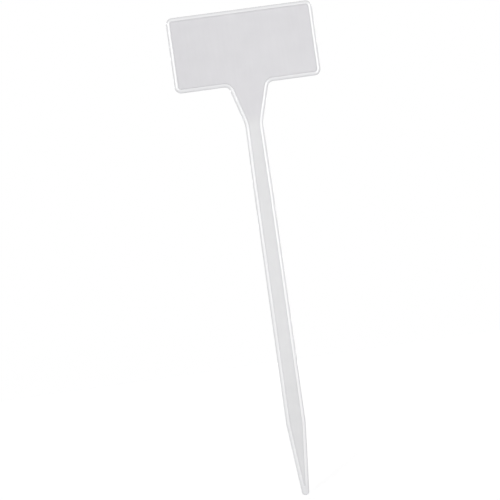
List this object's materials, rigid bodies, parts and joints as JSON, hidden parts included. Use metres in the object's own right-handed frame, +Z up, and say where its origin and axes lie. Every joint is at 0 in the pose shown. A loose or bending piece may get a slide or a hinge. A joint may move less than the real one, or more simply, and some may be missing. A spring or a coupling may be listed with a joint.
{
  "type": "plant label stake",
  "caption": "T-shaped plastic plant label: a rectangular writing panel on a funnel neck and a long tapering stem with a blunt point, edged all round by a raised rounded rim.",
  "frame": {"origin": "middle of the stem's thickness and width at the soil line, 100 mm above the end of the nose", "axes": "+Z up along the stem to the head, +X to the reader's right, writing face towards -Y"},
  "size_m": [0.09, 0.0022, 0.3],
  "materials": {
    "web": "satin",
    "rim": "satin"
  },
  "bodies": {
    "root": {"writing_panel": "web", "neck_web": "web", "stem_web": "web", "point_web": "web", "head_rim": "rim", "neck_rim_left": "rim", "neck_rim_right": "rim", "stem_rim_left": "rim", "stem_rim_right": "rim", "point_rim_left": "rim", "point_rim_right": "rim", "nose": "rim"}
  },
  "joints": []
}
